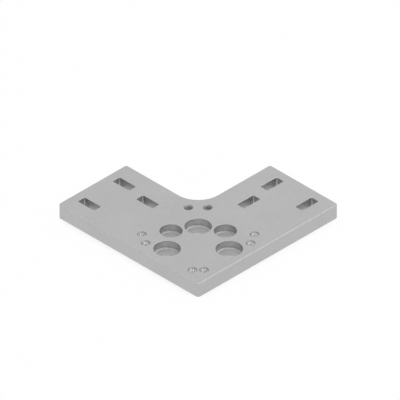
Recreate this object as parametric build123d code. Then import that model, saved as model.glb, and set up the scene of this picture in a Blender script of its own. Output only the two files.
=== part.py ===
from build123d import *
import os

# One L-shaped plate, machined from flat aluminium bar, that joins two profile
# rails at a frame's corner and takes a castor or a foot under the joint.
# Sizes are in millimetres. Holes are placed from the outer corner of the L,
# with one leg along X and the other along Y. Each leg mirrors the other across
# the diagonal. The seats open towards +Z, and the plate rests on Z = 0.

# Profile groove lines, counted in from each outer face of the plate
EDGE_LINE = 20.0  # the groove line next to the outer face
NARROW_PITCH = 40.0  # to the second groove line of a 40 mm wide profile
WIDE_PITCH = 45.0  # to the second groove line of a 45 mm wide profile

# Castor patterns: two rectangles of tapped holes, one for each way round
CASTOR_LONG_PITCH = 80.0
CASTOR_SHORT_PITCH = 60.0
CASTOR_LONG_INSET = 12.5  # outer face to the first hole, along the long pitch
CASTOR_SHORT_INSET = 20.0  # outer face to the first hole, along the short pitch
TAPPED_CORE_DIAMETER = 6.8  # tapping size of an M8 thread
TAPPED_LEAD_IN = 1.1  # chamfer at both mouths

# Plate
LEG_LENGTH = 180.0  # outer corner to the end of either leg
HOLE_TO_INNER_EDGE = 7.5  # last castor hole to the inner edge of its leg
THICKNESS = 15.0
OUTER_RADIUS = 2.5  # the outer corner and the corners of the leg ends
INNER_RADIUS = 25.0  # where the inner edges of the legs meet
EDGE_CHAMFER = 0.5  # round both faces of the plate

# Bolt slots across the free end of each leg
SLOT_LENGTH = 21.0
SLOT_WIDTH = 9.0
SLOT_CORNER_RADIUS = 1.5
END_SLOT_INSET = 20.0  # end of the leg to the centres of the outer two slots
SLOT_STAGGER = 35.0  # from those back to the centre of the inner slot

# Stepped seats round the frame's corner
SEAT_DEPTH = 7.5
LARGE_SEAT_DIAMETER = 25.0
LARGE_BORE_DIAMETER = 21.0
SMALL_SEAT_DIAMETER = 21.0
SMALL_BORE_DIAMETER = 17.5
SMALL_SEAT_OFFSET = 17.5  # each way from the crossing of the narrow lines

# Lines that follow from the sizes above
narrow_line = EDGE_LINE + NARROW_PITCH
wide_line = EDGE_LINE + WIDE_PITCH
castor_long_end = CASTOR_LONG_INSET + CASTOR_LONG_PITCH
castor_short_end = CASTOR_SHORT_INSET + CASTOR_SHORT_PITCH
leg_width = castor_short_end + HOLE_TO_INNER_EDGE
end_slot_line = LEG_LENGTH - END_SLOT_INSET


def on_both_legs(points):
    """Return the points and their mirror images across the diagonal."""
    return points + [(y, x) for x, y in points]


def blank():
    """Return the L-shaped blank, with its corners rounded and its edges broken."""
    corners = [
        (0, 0),
        (LEG_LENGTH, 0),
        (LEG_LENGTH, leg_width),
        (leg_width, leg_width),
        (leg_width, LEG_LENGTH),
        (0, LEG_LENGTH),
    ]
    outline = make_face(Polyline(*corners, close=True))
    from_inner_corner = outline.vertices().sort_by_distance((leg_width, leg_width))
    outline = fillet(from_inner_corner[1:], OUTER_RADIUS)
    inner_corner = outline.vertices().sort_by_distance((leg_width, leg_width))[0]
    outline = fillet(inner_corner, INNER_RADIUS)
    solid = extrude(outline, THICKNESS)
    return chamfer(solid.faces().filter_by(Axis.Z).edges(), EDGE_CHAMFER)


def leg_slots():
    """Return the cutters of both legs' slots, each long way along its leg."""
    centres = [
        (EDGE_LINE, end_slot_line),
        (wide_line, end_slot_line),
        (narrow_line, end_slot_line - SLOT_STAGGER),
    ]
    along_y = RectangleRounded(SLOT_WIDTH, SLOT_LENGTH, SLOT_CORNER_RADIUS)
    along_x = RectangleRounded(SLOT_LENGTH, SLOT_WIDTH, SLOT_CORNER_RADIUS)
    slots = [Pos(x, y) * along_y for x, y in centres]
    slots += [Pos(y, x) * along_x for x, y in centres]
    return extrude(Sketch() + slots, THICKNESS)


def stepped_seat(seat_diameter, bore_diameter):
    """Return the cutter of one seat, sunk from the top face, over its through bore."""
    from_below = (Align.CENTER, Align.CENTER, Align.MIN)
    bore = Cylinder(bore_diameter / 2, THICKNESS, align=from_below)
    seat = Cylinder(seat_diameter / 2, SEAT_DEPTH, align=from_below)
    return bore + Pos(0, 0, THICKNESS - SEAT_DEPTH) * seat


def tapped_hole():
    """Return the cutter of one tapping hole, led in from both faces."""
    from_below = (Align.CENTER, Align.CENTER, Align.MIN)
    core_radius = TAPPED_CORE_DIAMETER / 2
    core = Cylinder(core_radius, THICKNESS, align=from_below)
    mouth = Cone(core_radius + TAPPED_LEAD_IN, core_radius, TAPPED_LEAD_IN, align=from_below)
    upper_mouth = Pos(0, 0, THICKNESS) * Rot(180, 0, 0) * mouth
    return core + mouth + upper_mouth


large_seat_centres = [(wide_line, wide_line)] + on_both_legs([(EDGE_LINE, narrow_line)])
small_seat_centres = on_both_legs(
    [(narrow_line - SMALL_SEAT_OFFSET, narrow_line + SMALL_SEAT_OFFSET)]
)
castor_hole_centres = on_both_legs(
    [
        (x, y)
        for x in (CASTOR_LONG_INSET, castor_long_end)
        for y in (CASTOR_SHORT_INSET, castor_short_end)
    ]
)

large_seat = stepped_seat(LARGE_SEAT_DIAMETER, LARGE_BORE_DIAMETER)
small_seat = stepped_seat(SMALL_SEAT_DIAMETER, SMALL_BORE_DIAMETER)
castor_hole = tapped_hole()

plate = blank() - leg_slots()
plate -= [Pos(x, y) * large_seat for x, y in large_seat_centres]
plate -= [Pos(x, y) * small_seat for x, y in small_seat_centres]
plate -= [Pos(x, y) * castor_hole for x, y in castor_hole_centres]

# The origin is the middle of the plate's square envelope, on its underside
joining_plate = Pos(-LEG_LENGTH / 2, -LEG_LENGTH / 2) * plate

os.makedirs("parts", exist_ok=True)
export_step(joining_plate, "parts/joining_plate.step")
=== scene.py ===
"""Dresses the extrusion joining plate: its machined form, its finish and its studio."""

import logging
import math
from collections.abc import Iterable
from dataclasses import dataclass, field
from enum import Enum

import bmesh
import bpy
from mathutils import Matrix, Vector


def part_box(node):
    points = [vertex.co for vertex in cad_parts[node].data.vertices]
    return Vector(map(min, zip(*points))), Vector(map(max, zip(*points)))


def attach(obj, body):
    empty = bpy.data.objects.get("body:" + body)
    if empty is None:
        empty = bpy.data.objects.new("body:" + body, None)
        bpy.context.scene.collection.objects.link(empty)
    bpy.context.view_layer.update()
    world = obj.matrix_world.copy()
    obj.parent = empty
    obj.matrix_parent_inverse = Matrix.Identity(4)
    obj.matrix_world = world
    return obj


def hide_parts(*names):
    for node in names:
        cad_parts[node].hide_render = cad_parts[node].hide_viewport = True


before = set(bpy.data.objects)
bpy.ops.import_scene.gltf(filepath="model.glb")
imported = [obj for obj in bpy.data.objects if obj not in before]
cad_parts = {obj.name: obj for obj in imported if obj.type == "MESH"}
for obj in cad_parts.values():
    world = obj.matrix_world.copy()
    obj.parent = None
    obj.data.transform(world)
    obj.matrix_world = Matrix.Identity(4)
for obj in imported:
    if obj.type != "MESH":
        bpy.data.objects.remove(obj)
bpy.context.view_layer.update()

LOG = logging.getLogger("joining_plate")
MM = 0.001
NODE = "joining_plate"
WHITE = "FFFFFF"

Point = tuple[float, float]
Ring = list[bmesh.types.BMVert]
Rims = tuple[Ring, Ring]
Socket = bpy.types.NodeSocket


class Surface(Enum):
    """The plate's surfaces by material slot, some made differently and some told apart only by painted
    light and shade.
    """

    FACE = 0
    EDGE = 1
    LEDGE = 2
    TURNED = 3
    MILLED = 4
    COUNTERSINK = 5
    FILMED_THREAD = 6
    BARE_THREAD = 7


def linear(hex_colour: str) -> tuple[float, float, float, float]:
    """Turn an sRGB hex colour into linear light.

    Args:
        hex_colour: Six hex digits, red first.

    Returns:
        Red, green, blue and an alpha of one.
    """
    channels = [int(hex_colour[i : i + 2], 16) / 255 for i in (0, 2, 4)]
    lit = [c / 12.92 if c <= 0.04045 else ((c + 0.055) / 1.055) ** 2.4 for c in channels]
    return lit[0], lit[1], lit[2], 1.0


def per_metre(size_mm: float) -> float:
    """Return the texture scale whose features are size_mm across."""
    return 1 / (size_mm * MM)


def add_node(
    tree: bpy.types.NodeTree, kind: str, inputs: dict | None = None, **settings: object
) -> bpy.types.Node:
    """Add one node, with its settings, values and links.

    Args:
        tree: The tree that gets the node.
        kind: The node's type name, such as "ShaderNodeMix".
        inputs: Socket name or number to a value, or to an output socket to link from.
        settings: Properties of the node itself.

    Returns:
        The new node.
    """
    node = tree.nodes.new(kind)
    for name, value in settings.items():
        setattr(node, name, value)
    for name, value in (inputs or {}).items():
        if isinstance(value, bpy.types.NodeSocket):
            tree.links.new(value, node.inputs[name])
        else:
            node.inputs[name].default_value = value
    return node


def new_material(name: str) -> tuple[bpy.types.Material, bpy.types.NodeTree]:
    """Start a material.

    Args:
        name: The material's name.

    Returns:
        The material and its node tree, which is empty.
    """
    material = bpy.data.materials.new(name)
    material.use_nodes = True
    material.node_tree.nodes.clear()
    return material, material.node_tree


def pattern(
    tree: bpy.types.NodeTree,
    place: Socket,
    size_mm: tuple[float, float, float],
    low: float,
    high: float,
    detail: float = 2.0,
) -> Socket:
    """Lay out an uneven pattern of patches or streaks.

    Args:
        tree: The tree that gets the pattern.
        place: The coordinates, in metres.
        size_mm: How large one patch is along each axis.
        low: The noise level that counts as 0.
        high: The noise level that counts as 1.
        detail: How many finer layers lie over the patches.

    Returns:
        A value from 0 to 1.
    """
    scale = tuple(per_metre(size) for size in size_mm)
    stretch = add_node(tree, "ShaderNodeMapping", {"Vector": place, "Scale": scale})
    patches = add_node(
        tree, "ShaderNodeTexNoise", {"Vector": stretch.outputs["Vector"], "Scale": 1.0, "Detail": detail}
    )
    spread = add_node(
        tree, "ShaderNodeMapRange", {"Value": patches.outputs["Fac"], "From Min": low, "From Max": high}
    )
    return spread.outputs["Result"]


def finish_metal(
    tree: bpy.types.NodeTree,
    colour: Socket,
    roughness: tuple[Socket, float, float],
    relief: tuple[Socket, float],
) -> None:
    """End a metal's tree with its shader and its bump.

    Args:
        tree: The tree to end.
        colour: The metal's colour.
        roughness: A value from 0 to 1, with the roughness at 0 and at 1.
        relief: A height from 0 to 1, with its depth in millimetres.
    """
    value, smooth, rough = roughness
    height, depth_mm = relief
    sheen = add_node(tree, "ShaderNodeMapRange", {"Value": value, "To Min": smooth, "To Max": rough})
    bump = add_node(tree, "ShaderNodeBump", {"Height": height, "Strength": 1.0, "Distance": depth_mm * MM})
    shader = add_node(
        tree,
        "ShaderNodeBsdfPrincipled",
        {
            "Base Color": colour,
            "Metallic": 1.0,
            "Roughness": sheen.outputs["Result"],
            "Normal": bump.outputs["Normal"],
        },
    )
    add_node(tree, "ShaderNodeOutputMaterial", {"Surface": shader.outputs["BSDF"]})


@dataclass(frozen=True)
class AnodisedFace:
    """Clear anodised aluminium on the flat faces and outer walls.

    The blank is milled flat, etched and anodised without dye. The etch leaves a
    fine even grain that takes the mirror off the metal, so it reads as a plain
    pale grey with soft, wide reflections.

    Attributes:
        name: The material's name.
        pale: The lighter of the film's two tones.
        deep: The darker of them.
        scuff: The colour that a rub leaves.
        smooth: The lowest roughness.
        rough: The highest roughness.
        cloud_mm: How large the film's wide, faint changes of tone are.
        stain_mm: How large the small ones are.
        grain_mm: How large one pit of the etch is.
        scuff_mm: How long and how wide a rub is.
        handled_mm: How large the patches are that the rubs lie in.
        relief_mm: How deep the pits are.
    """

    name: str = "clear_anodised_aluminium"
    pale: str = "B7B7B8"
    deep: str = "B1B1B2"
    scuff: str = "CBCBCC"
    smooth: float = 0.27
    rough: float = 0.34
    cloud_mm: float = 38.0
    stain_mm: float = 5.0
    grain_mm: float = 0.5  # the etch's pits are about 0.05; drawn coarser to show
    scuff_mm: tuple[float, float, float] = (9.0, 1.1, 9.0)
    handled_mm: float = 30.0
    relief_mm: float = 0.004

    def material(self) -> bpy.types.Material:
        """Mix faint clouds and stains, lay the scuffs over them and end with the grain.

        Returns:
            The finished material.
        """
        material, tree = new_material(self.name)
        place = add_node(tree, "ShaderNodeTexCoord").outputs["Object"]
        clouds = pattern(tree, place, (self.cloud_mm,) * 3, low=0.35, high=0.65, detail=3.0)
        stains = pattern(tree, place, (self.stain_mm,) * 3, low=0.3, high=0.7)
        grain = pattern(tree, place, (self.grain_mm,) * 3, low=0.25, high=0.75)
        tone = add_node(tree, "ShaderNodeMath", {0: clouds, 1: stains}, operation="ADD")
        half = add_node(tree, "ShaderNodeMath", {0: tone.outputs[0], 1: 0.5}, operation="MULTIPLY")
        film = add_node(
            tree,
            "ShaderNodeMix",
            {0: half.outputs[0], 6: linear(self.deep), 7: linear(self.pale)},
            data_type="RGBA",
        )
        colour = add_node(
            tree,
            "ShaderNodeMix",
            {0: self._scuffs(tree, place), 6: film.outputs[2], 7: linear(self.scuff)},
            data_type="RGBA",
        )
        finish_metal(tree, colour.outputs[2], (clouds, self.smooth, self.rough), (grain, self.relief_mm))
        return material

    def _scuffs(self, tree: bpy.types.NodeTree, place: Socket) -> Socket:
        """Lay out the few short rubs that handling leaves.

        Args:
            tree: The tree that gets the pattern.
            place: The coordinates, in metres.

        Returns:
            A value that is above 0 on the rubs.
        """
        rubs = pattern(tree, place, self.scuff_mm, low=0.72, high=0.88, detail=1.0)
        handled = pattern(tree, place, (self.handled_mm,) * 3, low=0.5, high=0.62, detail=0.0)
        return add_node(tree, "ShaderNodeMath", {0: rubs, 1: handled}, operation="MULTIPLY").outputs[0]


@dataclass(frozen=True)
class RubbedFilmAndPaintedLight:
    """Anodised aluminium in two tones, for film rubbed thin in patches and for painted light.

    Handling rubs the broken edges, and the metal shows through there, so they catch
    the light more than the faces do. On the seats' ledges the same mix is painted
    light: the ledges are drawn pale so that they read as lit rings.

    Attributes:
        name: The material's name.
        film: The colour where the film is whole; on a ledge, the darker tone of its painted light.
        rubbed: The colour where it is thin; on a ledge, the paler tone of its painted light.
        smooth: The roughness where it is thin.
        rough: The roughness where the film is whole.
        rub_mm: How large one rubbed patch is.
        grain_mm: How large one pit of the etch is.
        relief_mm: How deep the pits are.
    """

    name: str
    film: str
    rubbed: str
    smooth: float
    rough: float
    rub_mm: float = 3.5
    grain_mm: float = 0.3  # the etch's pits are about 0.05; drawn coarser to show
    relief_mm: float = 0.004

    def material(self) -> bpy.types.Material:
        """Mix the two tones in patches, over the etch's grain: worn film on the edges, painted light on the
        ledges.

        Returns:
            The finished material.
        """
        material, tree = new_material(self.name)
        place = add_node(tree, "ShaderNodeTexCoord").outputs["Object"]
        # On the ledges this mix of tones is painted light, not wear.
        kept = pattern(tree, place, (self.rub_mm,) * 3, low=0.42, high=0.65, detail=3.0)
        grain = pattern(tree, place, (self.grain_mm,) * 3, low=0.25, high=0.75)
        colour = add_node(
            tree,
            "ShaderNodeMix",
            {0: kept, 6: linear(self.rubbed), 7: linear(self.film)},
            data_type="RGBA",
        )
        finish_metal(tree, colour.outputs[2], (kept, self.smooth, self.rough), (grain, self.relief_mm))
        return material


# The plate's broken edges: a thin line that glints unevenly where the light meets it.
BROKEN_EDGE = RubbedFilmAndPaintedLight(
    name="rubbed_anodised_aluminium",
    film="B3B3B4",
    rubbed="BEBEBF",
    smooth=0.4,
    rough=0.5,
)
# The ledges in the seats: painted light, drawn pale and dull so that they read as light rings.
SEAT_LEDGE_PAINTED_LIGHT = RubbedFilmAndPaintedLight(
    name="ledge_painted_light",
    film="CECECF",
    rubbed="DCDCDD",
    smooth=0.65,
    rough=0.75,
)


@dataclass(frozen=True)
class CutWall:
    """Aluminium where a tool has cut it: bores, slots, countersinks and threads.

    The wall keeps fine parallel lines along the way that the cutter went. Its grey,
    near that of the etched faces, is painted light and shade: a little darker in the
    seats, paler in the slots, darkest in a countersink and bright metal in most
    threads.

    Attributes:
        name: The material's name.
        pale: The crests of the tool's marks.
        deep: The floors of the tool's marks.
        feed_mm: The distance from one mark to the next.
        run_mm: How far one mark runs before it fades.
        around: Whether the marks run round the wall rather than down it.
        smooth: The lowest roughness.
        rough: The highest roughness.
        relief_mm: How deep the marks are.
        cloud_mm: How large the patches of higher and lower roughness are.
        flat_mm: The pattern's size across the marks' plane, where it never changes.
    """

    name: str
    pale: str
    deep: str
    feed_mm: float
    run_mm: float
    around: bool
    smooth: float
    rough: float
    relief_mm: float
    cloud_mm: float = 6.0
    flat_mm: float = 1000.0

    def material(self) -> bpy.types.Material:
        """Draw the tool's marks along its path.

        Returns:
            The finished material.
        """
        material, tree = new_material(self.name)
        path = add_node(tree, "ShaderNodeUVMap", uv_map=PlateMesh.TOOL_PATH).outputs["UV"]
        size = (self.run_mm, self.feed_mm) if self.around else (self.feed_mm, self.run_mm)
        marks = pattern(tree, path, (*size, self.flat_mm), low=0.3, high=0.7)
        place = add_node(tree, "ShaderNodeTexCoord").outputs["Object"]
        clouds = pattern(tree, place, (self.cloud_mm,) * 3, low=0.3, high=0.7)
        colour = add_node(
            tree,
            "ShaderNodeMix",
            {0: marks, 6: linear(self.deep), 7: linear(self.pale)},
            data_type="RGBA",
        )
        finish_metal(tree, colour.outputs[2], (clouds, self.smooth, self.rough), (marks, self.relief_mm))
        return material


# The round walls of the seats: fine rings that blur what they mirror to an even mid grey, drawn a little
# darker than the faces as painted shade in the seats.
TURNED_WALL_PAINTED_SHADE = CutWall(
    name="turned_wall_painted_shade",
    pale="B3B3B4",
    deep="A9A9AA",
    feed_mm=0.3,  # the boring tool's feed is about 0.1; drawn coarser to show
    run_mm=40.0,
    around=True,
    smooth=0.45,
    rough=0.55,
    relief_mm=0.003,
)
# The slots' walls: upright tooth marks, smoother than the turned rings and drawn paler than the faces as
# painted light in the slots.
MILLED_WALL_PAINTED_LIGHT = CutWall(
    name="milled_wall_painted_light",
    pale="BEBEBF",
    deep="B4B4B5",
    feed_mm=0.5,  # the end mill's tooth marks are about 0.1; drawn coarser to show
    run_mm=30.0,
    around=False,
    smooth=0.38,
    rough=0.48,
    relief_mm=0.003,
)
# The small holes' mouths: painted shade, the darkest grey, so each hole has a dark ring round it.
COUNTERSINK = CutWall(
    name="countersink_painted_shade",
    pale="9C9C9D",
    deep="949495",
    feed_mm=0.3,  # the real marks are finer; drawn coarser to show, here and in the threads
    run_mm=2.0,
    around=True,
    smooth=0.42,
    rough=0.48,
    relief_mm=0.002,
)
# Threads in painted shade: the same thread as the others, drawn in dull grey darker than the face.
FILMED_THREAD = CutWall(
    name="thread_painted_shade",
    pale="B2B2B3",
    deep="A6A6A7",
    feed_mm=0.2,
    run_mm=25.0,
    around=True,
    smooth=0.36,
    rough=0.46,
    relief_mm=0.002,
)
# Threads in painted light: the same thread drawn in bright metal, so that it glints in the dark ring.
BARE_THREAD = CutWall(
    name="thread_painted_light",
    pale="F4F4F5",
    deep="E6E6E7",
    feed_mm=0.2,
    run_mm=25.0,
    around=True,
    smooth=0.26,
    rough=0.34,
    relief_mm=0.002,
)

Finish = AnodisedFace | RubbedFilmAndPaintedLight | CutWall
FINISHES: dict[Surface, Finish] = {
    Surface.FACE: AnodisedFace(),
    Surface.EDGE: BROKEN_EDGE,
    Surface.LEDGE: SEAT_LEDGE_PAINTED_LIGHT,
    Surface.TURNED: TURNED_WALL_PAINTED_SHADE,
    Surface.MILLED: MILLED_WALL_PAINTED_LIGHT,
    Surface.COUNTERSINK: COUNTERSINK,
    Surface.FILMED_THREAD: FILMED_THREAD,
    Surface.BARE_THREAD: BARE_THREAD,
}


@dataclass(frozen=True)
class Arc:
    """One round corner of a closed outline, in millimetres and degrees.

    Attributes:
        centre: The arc's centre.
        radius: Its radius.
        start: The angle of its first point.
        sweep: How far it turns, positive to the left.
        grows: Whether the radius grows, going into the metal.
    """

    centre: Point
    radius: float
    start: float
    sweep: float
    grows: bool


@dataclass(frozen=True)
class Outline:
    """A closed line of arcs joined by straight runs, seen from above.

    Attributes:
        arcs: The arcs in order.
        steps: How many spans each quarter turn gets.
    """

    arcs: tuple[Arc, ...]
    steps: int

    def ring(self, into: float) -> list[Point]:
        """Return the outline's points, moved into the metal.

        Args:
            into: How far the points move, in millimetres.

        Returns:
            As many points at every distance, in the same order.
        """
        points = []
        for arc in self.arcs:
            radius = arc.radius + into if arc.grows else arc.radius - into
            whole = abs(arc.sweep) == 360
            spans = round(self.steps * abs(arc.sweep) / 90)
            for i in range(spans if whole else spans + 1):
                angle = math.radians(arc.start + arc.sweep * i / spans)
                points.append(
                    (arc.centre[0] + radius * math.cos(angle), arc.centre[1] + radius * math.sin(angle))
                )
        return points


def rounded_rectangle(centre: Point, width: float, height: float, radius: float, steps: int) -> Outline:
    """Draw a hole's outline: a rectangle with round corners.

    Args:
        centre: The hole's centre.
        width: Its size along X.
        height: Its size along Y.
        radius: The radius of its corners.
        steps: How many spans each corner gets.

    Returns:
        The outline.
    """
    across, up = width / 2 - radius, height / 2 - radius
    corners = [(-across, -up, 180), (across, -up, 270), (across, up, 0), (-across, up, 90)]
    arcs = tuple(Arc((centre[0] + x, centre[1] + y), radius, start, 90, True) for x, y, start in corners)
    return Outline(arcs, steps)


def circle(centre: Point, radius: float, steps: int) -> Outline:
    """Return a round hole's outline."""
    return Outline((Arc(centre, radius, 0, 360, True),), steps)


@dataclass(frozen=True)
class Thread:
    """A coarse metric internal thread with a lead-in at both mouths, in millimetres.

    Attributes:
        major: The diameter at the groove's floor.
        core: The diameter of the hole between the grooves.
        pitch: The distance from one groove to the next.
        flank: The slope of the groove's sides to a plane across the axis, in degrees.
        lead_in: How far each mouth is countersunk, in radius and in depth.
        rows_a_turn: How many rings of vertices one pitch gets.
        points_around: How many vertices one ring has.
    """

    major: float = 8.0
    core: float = 6.8
    pitch: float = 1.25
    flank: float = 30.0
    lead_in: float = 1.1
    rows_a_turn: int = 10
    points_around: int = 48

    def radius_at(self, angle: float, height: float, top: float) -> float:
        """Return the wall's distance from the hole's axis.

        Args:
            angle: The direction round the axis, in radians.
            height: The height above the underside.
            top: The height of the upper mouth.

        Returns:
            The radius, at its widest in the groove and in the mouths.
        """
        turn = (height / self.pitch - angle / math.tau) % 1
        from_groove = abs(turn - 0.5) * self.pitch
        half_floor = self.pitch / 16
        side = self.major / 2 - (from_groove - half_floor) / math.tan(math.radians(self.flank))
        groove = min(max(side, self.core / 2), self.major / 2)
        mouth = self.core / 2 + self.lead_in - min(height, top - height)
        return max(groove, mouth)


@dataclass
class PlateMesh:
    """Collects the plate's rings and faces in a mesh.

    Attributes:
        corner: The plate's lowest corner, in metres.
        mesh: The mesh under construction.
    """

    TOOL_PATH = "tool_path"
    SHARP_DEGREES = 32  # edges that turn more than this are drawn sharp

    corner: Vector
    mesh: bmesh.types.BMesh = field(default_factory=bmesh.new)

    def add_ring(self, points: Iterable[Point], height: float) -> Ring:
        """Add a closed ring of vertices, at a height above the underside, in millimetres."""
        return [self.mesh.verts.new(self.corner + Vector((x, y, height)) * MM) for x, y in points]

    def add_wall(self, rings: list[Ring], surfaces: list[Surface]) -> None:
        """Join rings, each to the next, and lay the tool path's coordinates on the wall.

        Args:
            rings: The rings from the top down, with as many vertices each.
            surfaces: What each strip between two rings is.
        """
        layers = self.mesh.loops.layers.uv
        path = layers.get(self.TOOL_PATH) or layers.new(self.TOOL_PATH)
        down = 0.0
        for upper, lower, surface in zip(rings, rings[1:], surfaces):
            step = (lower[0].co - upper[0].co).length
            along = 0.0
            for i, vertex in enumerate(upper):
                j = (i + 1) % len(upper)
                width = (upper[j].co - vertex.co).length
                face = self.mesh.faces.new((vertex, upper[j], lower[j], lower[i]))
                face.material_index = surface.value
                face.smooth = True
                further, deeper = along + width, down + step
                spots = ((along, down), (further, down), (further, deeper), (along, deeper))
                for loop, spot in zip(face.loops, spots):
                    loop[path].uv = spot
                along = further
            down += step

    def add_flat(self, rings: list[Ring]) -> None:
        """Fill one of the plate's flat faces.

        Args:
            rings: The plate's outer ring, then the ring of each opening.
        """
        edges = []
        for ring in rings:
            edges += [self.mesh.edges.get((ring[i - 1], ring[i])) for i in range(len(ring))]
        filled = bmesh.ops.triangle_fill(self.mesh, edges=edges, use_beauty=True, use_dissolve=False)
        for item in filled["geom"]:
            if isinstance(item, bmesh.types.BMFace):
                item.material_index = Surface.FACE.value
                item.smooth = True

    def to_object(self, name: str) -> bpy.types.Object:
        """Turn the mesh into an object in the scene, with its sharp edges marked.

        Args:
            name: The name of the object and of its mesh.

        Returns:
            The object. The mesh under construction is gone afterwards.
        """
        bmesh.ops.recalc_face_normals(self.mesh, faces=self.mesh.faces)
        sharp = math.radians(self.SHARP_DEGREES)
        for edge in self.mesh.edges:
            edge.smooth = edge.calc_face_angle(math.pi) < sharp
        data = bpy.data.meshes.new(name)
        self.mesh.to_mesh(data)
        self.mesh.free()
        piece = bpy.data.objects.new(name, data)
        bpy.context.scene.collection.objects.link(piece)
        weighting = piece.modifiers.new("even_shading", "WEIGHTED_NORMAL")
        weighting.keep_sharp = True
        return piece


@dataclass
class JoiningPlate:
    """The machined plate, measured in millimetres from its outer corner.

    One leg runs along X and the other along Y, and each mirrors the other. The
    sizes are those of the solid model. The rims and the thread are the detail
    that the solid leaves out.
    """

    BROKEN = [Surface.EDGE] * 3  # the strips of one broken edge

    edge_line: float = 20.0  # outer edge to the first groove line of the profile below
    narrow_pitch: float = 40.0  # from there to the second line of a 40 mm profile
    wide_pitch: float = 45.0  # and of a 45 mm profile
    castor_pitch: Point = (80.0, 60.0)  # the tapped holes' rectangle, long way and short way
    castor_inset: Point = (12.5, 20.0)  # outer edges to its first hole, in the same two ways
    hole_to_inner_edge: float = 7.5  # the last tapped hole to the inner edge of its leg
    outer_radius: float = 2.5
    inner_radius: float = 25.0
    edge_chamfer: float = 0.5
    slot_size: Point = (9.0, 21.0)  # across the leg and along it
    slot_radius: float = 1.5
    end_slot_inset: float = 20.0  # the leg's end to the outer two slots
    slot_stagger: float = 35.0  # from those back to the inner slot
    seat_depth: float = 7.5
    large_seat: Point = (25.0, 21.0)  # the diameters of the seat and of the bore below it
    small_seat: Point = (21.0, 17.5)
    small_seat_offset: float = 17.5  # each way from the crossing of the narrow lines
    rim: float = 0.22  # the broken edges of the slots and seats
    edge_steps: int = 12  # spans in a quarter turn, here and in the next two
    slot_steps: int = 8
    seat_steps: int = 32
    thread: Thread = Thread()
    finishes: dict[Surface, Finish] = field(default_factory=lambda: dict(FINISHES))

    def __post_init__(self) -> None:
        """Take the plate's envelope from the frame."""
        low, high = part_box(NODE)
        self.corner = Vector(low)
        self.leg_length = (high[0] - low[0]) / MM
        self.thickness = (high[2] - low[2]) / MM

    def outer_outline(self) -> Outline:
        """Draw the L from its outer corner along X, round the inner corner and back.

        Returns:
            The outline.
        """
        width = self.castor_inset[1] + self.castor_pitch[1] + self.hole_to_inner_edge
        radius = self.outer_radius
        far, end = self.leg_length - radius, width - radius
        inner = width + self.inner_radius
        arcs = (
            Arc((radius, radius), radius, 180, 90, False),
            Arc((far, radius), radius, 270, 90, False),
            Arc((far, end), radius, 0, 90, False),
            Arc((inner, inner), self.inner_radius, 270, -90, True),
            Arc((end, far), radius, 0, 90, False),
            Arc((radius, far), radius, 90, 90, False),
        )
        return Outline(arcs, self.edge_steps)

    def broken_edge(self, size: float, height: float, up: bool) -> list[Point]:
        """Return a chamfer's section, softened where it meets the faces.

        Args:
            size: The chamfer's legs.
            height: The height of the flat face that it starts or ends at.
            up: Whether that face looks up.

        Returns:
            Distances into the metal with heights, from the top down.
        """
        past, near, hint = 1.15 * size, 0.85 * size, 0.1 * size
        soft = [(past, 0.0), (near, hint), (hint, near), (0.0, past)]
        if up:
            return [(into, height - drop) for into, drop in soft]
        return [(into, height + drop) for into, drop in reversed(soft)]

    def outer_wall(self, mesh: PlateMesh) -> Rims:
        """Build the plate's outer wall.

        Args:
            mesh: The mesh that gets the wall.

        Returns:
            The rings in the plate's two faces.
        """
        return self._plain_wall(mesh, self.outer_outline(), self.edge_chamfer, Surface.FACE)

    def slot(self, mesh: PlateMesh, centre: Point, along_y: bool) -> Rims:
        """Build one slot.

        Args:
            mesh: The mesh that gets the slot.
            centre: The slot's centre.
            along_y: Whether its long way is along Y rather than X.

        Returns:
            The rings in the plate's two faces.
        """
        width, height = self.slot_size if along_y else reversed(self.slot_size)
        outline = rounded_rectangle(centre, width, height, self.slot_radius, self.slot_steps)
        return self._plain_wall(mesh, outline, self.rim, Surface.MILLED)

    def seat(self, mesh: PlateMesh, centre: Point, diameters: Point) -> Rims:
        """Build one stepped seat: its wall, its ledge and the bore below.

        Args:
            mesh: The mesh that gets the seat.
            centre: The seat's axis.
            diameters: Of the seat, and of the bore below it.

        Returns:
            The rings in the plate's two faces.
        """
        outline = circle(centre, diameters[1] / 2, self.seat_steps)
        ledge = (diameters[0] - diameters[1]) / 2
        floor = self.thickness - self.seat_depth
        upper = [(ledge + into, z) for into, z in self.broken_edge(self.rim, self.thickness, up=True)]
        root = [(ledge, floor + self.rim), (ledge - self.rim, floor)]
        step = self.broken_edge(self.rim, floor, up=True)
        lower = self.broken_edge(self.rim, 0.0, up=False)
        surfaces = self.BROKEN + [Surface.TURNED] * 2 + [Surface.LEDGE] * 4 + [Surface.TURNED] + self.BROKEN
        return self._wall(mesh, outline, upper + root + step + lower, surfaces)

    def tapped_hole(self, mesh: PlateMesh, centre: Point, surface: Surface) -> Rims:
        """Build one threaded through hole.

        Args:
            mesh: The mesh that gets the hole.
            centre: The hole's axis.
            surface: What the thread is; its two mouths are countersunk.

        Returns:
            The rings in the plate's two faces.
        """
        thread = self.thread
        angles = [math.tau * i / thread.points_around for i in range(thread.points_around)]
        rows = round(self.thickness / thread.pitch * thread.rows_a_turn)
        rings = []
        for row in range(rows + 1):
            height = self.thickness * (1 - row / rows)
            points = []
            for angle in angles:
                radius = thread.radius_at(angle, height, self.thickness)
                points.append((centre[0] + radius * math.cos(angle), centre[1] + radius * math.sin(angle)))
            rings.append(mesh.add_ring(points, height))
        mouth = math.ceil(thread.lead_in / self.thickness * rows)
        mouth_surfaces = [Surface.COUNTERSINK] * mouth
        mesh.add_wall(rings, mouth_surfaces + [surface] * (rows - 2 * mouth) + mouth_surfaces)
        return rings[0], rings[-1]

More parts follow.
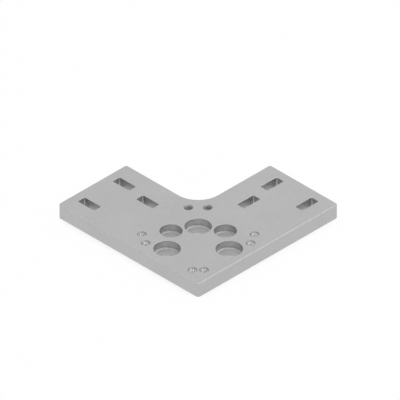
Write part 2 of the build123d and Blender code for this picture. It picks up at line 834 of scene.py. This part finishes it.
    def build(self) -> bpy.types.Object:
        """Build the whole plate as one closed mesh and dress it.

        Returns:
            The plate, which stands for its solid and rides on the part's one body.
        """
        mesh = PlateMesh(self.corner)
        rims = [self.outer_wall(mesh)]
        for centre in self.slot_centres():
            rims.append(self.slot(mesh, centre, along_y=True))
            rims.append(self.slot(mesh, centre[::-1], along_y=False))
        for centre, diameters in self.seat_places():
            rims.append(self.seat(mesh, centre, diameters))
        for centre, surface in self.castor_hole_places():
            rims.append(self.tapped_hole(mesh, centre, surface))
        mesh.add_flat([top for top, bottom in rims])
        mesh.add_flat([bottom for top, bottom in rims])
        piece = mesh.to_object("plate_in_anodised_aluminium")
        for surface in Surface:
            piece.data.materials.append(self.finishes[surface].material())
        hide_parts(NODE)
        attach(piece, "root")
        return piece

    def slot_centres(self) -> list[Point]:
        """Place the slots of the leg along Y; the other leg's mirror them.

        Returns:
            The centres of the outer two slots, then of the inner one.
        """
        end = self.leg_length - self.end_slot_inset
        wide, narrow = self.edge_line + self.wide_pitch, self.edge_line + self.narrow_pitch
        return [(self.edge_line, end), (wide, end), (narrow, end - self.slot_stagger)]

    def seat_places(self) -> list[tuple[Point, Point]]:
        """Place the seats on and beside the crossings of the groove lines.

        Returns:
            Each seat's centre with its diameters.
        """
        near, wide = self.edge_line, self.edge_line + self.wide_pitch
        narrow = self.edge_line + self.narrow_pitch
        inner = (narrow - self.small_seat_offset, narrow + self.small_seat_offset)
        large = [(wide, wide), (near, narrow), (narrow, near)]
        small = [inner, inner[::-1]]
        places = [(centre, self.large_seat) for centre in large]
        return places + [(centre, self.small_seat) for centre in small]

    def castor_hole_places(self) -> list[tuple[Point, Surface]]:
        """Place the tapped holes: a rectangle along each leg.

        The hole of each rectangle that is nearest the inner corner gets the thread in painted shade; the
        others get it in painted light.

        Returns:
            Each hole's centre with its thread's surface.
        """
        long_way, short_way = [(i, i + p) for i, p in zip(self.castor_inset, self.castor_pitch)]
        places = []
        for x in long_way:
            for y in short_way:
                nearest = (x, y) == (long_way[1], short_way[1])
                surface = Surface.FILMED_THREAD if nearest else Surface.BARE_THREAD
                places += [((x, y), surface), ((y, x), surface)]
        return places

    def _plain_wall(self, mesh: PlateMesh, outline: Outline, edge: float, surface: Surface) -> Rims:
        """Build a wall that runs straight down between two broken edges.

        Args:
            mesh: The mesh that gets the wall.
            outline: The line that the wall follows.
            edge: How far its edges are broken.
            surface: What the wall is between them.

        Returns:
            The rings in the plate's two faces.
        """
        section = self.broken_edge(edge, self.thickness, up=True) + self.broken_edge(edge, 0.0, up=False)
        return self._wall(mesh, outline, section, self.BROKEN + [surface] + self.BROKEN)

    def _wall(
        self, mesh: PlateMesh, outline: Outline, section: list[Point], surfaces: list[Surface]
    ) -> Rims:
        """Sweep a section round an outline.

        Args:
            mesh: The mesh that gets the wall.
            outline: The line that the section follows.
            section: Distances into the metal with heights, from the top down.
            surfaces: What each strip between two points of the section is.

        Returns:
            The first and the last ring.
        """
        rings = [mesh.add_ring(outline.ring(into), height) for into, height in section]
        mesh.add_wall(rings, surfaces)
        return rings[0], rings[-1]


def away(azimuth: float, elevation: float) -> Vector:
    """Point from the plate to a place round it.

    Args:
        azimuth: How far round it is, in degrees; 0 is the front, which faces -Y.
        elevation: How high above the floor it is, in degrees.

    Returns:
        A direction of length 1.
    """
    turn, lift = math.radians(azimuth), math.radians(elevation)
    return Vector((math.sin(turn) * math.cos(lift), -math.cos(turn) * math.cos(lift), math.sin(lift)))


@dataclass(frozen=True)
class SoftLamp:
    """A round softbox that faces the plate.

    Attributes:
        name: The lamp's name.
        azimuth: How far round the plate it stands, in degrees.
        elevation: How high it stands, in degrees.
        distance: How far from the plate it is, in metres.
        width: The diameter of its white cloth, in metres.
        watts: Its power.
    """

    name: str
    azimuth: float
    elevation: float
    distance: float
    width: float
    watts: float

    def build(self) -> bpy.types.Object:
        """Light the lamp and aim it at the plate.

        Returns:
            The lamp.
        """
        data = bpy.data.lights.new(self.name, "AREA")
        data.shape = "DISK"
        data.size = self.width
        data.energy = self.watts
        lamp = bpy.data.objects.new(self.name, data)
        bpy.context.scene.collection.objects.link(lamp)
        direction = away(self.azimuth, self.elevation)
        lamp.location = direction * self.distance
        lamp.rotation_mode = "QUATERNION"
        lamp.rotation_quaternion = (-direction).to_track_quat("-Z", "Y")
        return lamp


@dataclass
class Studio:
    """The pale floor, the soft light round the plate and the camera, in metres and degrees."""

    floor_size: float = 6.0
    floor_colour: str = "DADADB"
    floor_glow: float = 0.97  # how much of the clear floor's light is plain white
    shade_reach: float = 0.03  # how far from the plate the floor can still be in its shade
    shade_range: Point = (0.35, 0.55)  # how open the floor is where it is all shade, and where clear
    shade_samples: int = 8
    sky: float = 1.0
    softbox: SoftLamp = SoftLamp(
        name="high_softbox", azimuth=45, elevation=68, distance=2.0, width=1.6, watts=13.0
    )
    camera_distance: float = 2.0
    camera_azimuth: float = -45.0
    camera_elevation: float = 35.0
    view_width: float = 0.364  # from edge to edge of the picture
    aim_right: float = 0.00164  # from the frame's origin to what the camera aims at
    aim_up: float = 0.01586

    def floor(self) -> bpy.types.Object:
        """Lay a matt floor under the plate that looks white to the camera and in the metal.

        To the camera it keeps its own colour where the plate stands over it, so the
        plate's shadow and the depth of its bores stay.

        Returns:
            The floor, which isn't part of the object.
        """
        bpy.ops.mesh.primitive_plane_add(size=self.floor_size, location=(0, 0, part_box(NODE)[0][2]))
        floor = bpy.context.object
        floor.name = "studio_floor"
        material, tree = new_material("white_studio_floor")
        # The floor isn't a lamp: sampled as one, it would lose part of its white in the metal.
        material.cycles.emission_sampling = "NONE"
        ray = add_node(tree, "ShaderNodeLightPath").outputs
        matt = add_node(tree, "ShaderNodeBsdfDiffuse", {"Color": linear(self.floor_colour)})
        glow = add_node(tree, "ShaderNodeEmission", {"Color": linear(WHITE), "Strength": 1.0})
        shade = add_node(
            tree,
            "ShaderNodeAmbientOcclusion",
            {"Distance": self.shade_reach},
            samples=self.shade_samples,
        )
        low, high = self.shade_range
        clear = add_node(
            tree,
            "ShaderNodeMapRange",
            {"Value": shade.outputs["AO"], "From Min": low, "From Max": high, "To Max": self.floor_glow},
        )
        seen = add_node(
            tree,
            "ShaderNodeMath",
            {0: ray["Is Camera Ray"], 1: clear.outputs[0]},
            operation="MULTIPLY",
        )
        mirrored = add_node(
            tree,
            "ShaderNodeMath",
            {0: ray["Is Glossy Ray"], 1: ray["Is Transmission Ray"]},
            operation="MAXIMUM",
        )
        share = add_node(
            tree,
            "ShaderNodeMath",
            {0: seen.outputs[0], 1: mirrored.outputs[0]},
            operation="MAXIMUM",
        )
        mixed = add_node(
            tree,
            "ShaderNodeMixShader",
            {0: share.outputs[0], 1: matt.outputs[0], 2: glow.outputs[0]},
        )
        add_node(tree, "ShaderNodeOutputMaterial", {"Surface": mixed.outputs[0]})
        floor.data.materials.append(material)
        return floor

    def world(self) -> bpy.types.World:
        """Put an even white surround round the scene.

        Returns:
            The world.
        """
        world = bpy.data.worlds.new("white_surround")
        world.use_nodes = True
        tree = world.node_tree
        tree.nodes.clear()
        sky = add_node(tree, "ShaderNodeBackground", {"Color": linear(WHITE), "Strength": self.sky})
        add_node(tree, "ShaderNodeOutputWorld", {"Surface": sky.outputs[0]})
        bpy.context.scene.world = world
        return world

    def camera(self) -> bpy.types.Object:
        """Set up a camera without perspective, aimed a little above the plate's middle.

        Returns:
            The camera.
        """
        data = bpy.data.cameras.new("camera")
        data.type = "ORTHO"
        data.ortho_scale = self.view_width
        camera = bpy.data.objects.new("camera", data)
        bpy.context.scene.collection.objects.link(camera)
        back = away(self.camera_azimuth, self.camera_elevation)
        right = away(self.camera_azimuth + 90, 0)
        aim = right * self.aim_right + back.cross(right) * self.aim_up
        camera.location = aim + back * self.camera_distance
        camera.rotation_mode = "QUATERNION"
        camera.rotation_quaternion = (-back).to_track_quat("-Z", "Y")
        bpy.context.scene.camera = camera
        return camera

    def build(self) -> None:
        """Set up the floor, the light and the camera."""
        bpy.context.scene.view_settings.view_transform = "Standard"
        self.floor()
        self.world()
        self.softbox.build()
        self.camera()


def main() -> None:
    """Build the studio and the plate, in order."""
    logging.basicConfig(level=logging.INFO, format="%(name)s: %(message)s")
    Studio().build()
    LOG.info("studio ready")
    plate = JoiningPlate().build()
    LOG.info("%s: %d faces", plate.name, len(plate.data.polygons))


if __name__ == "__main__":
    main()
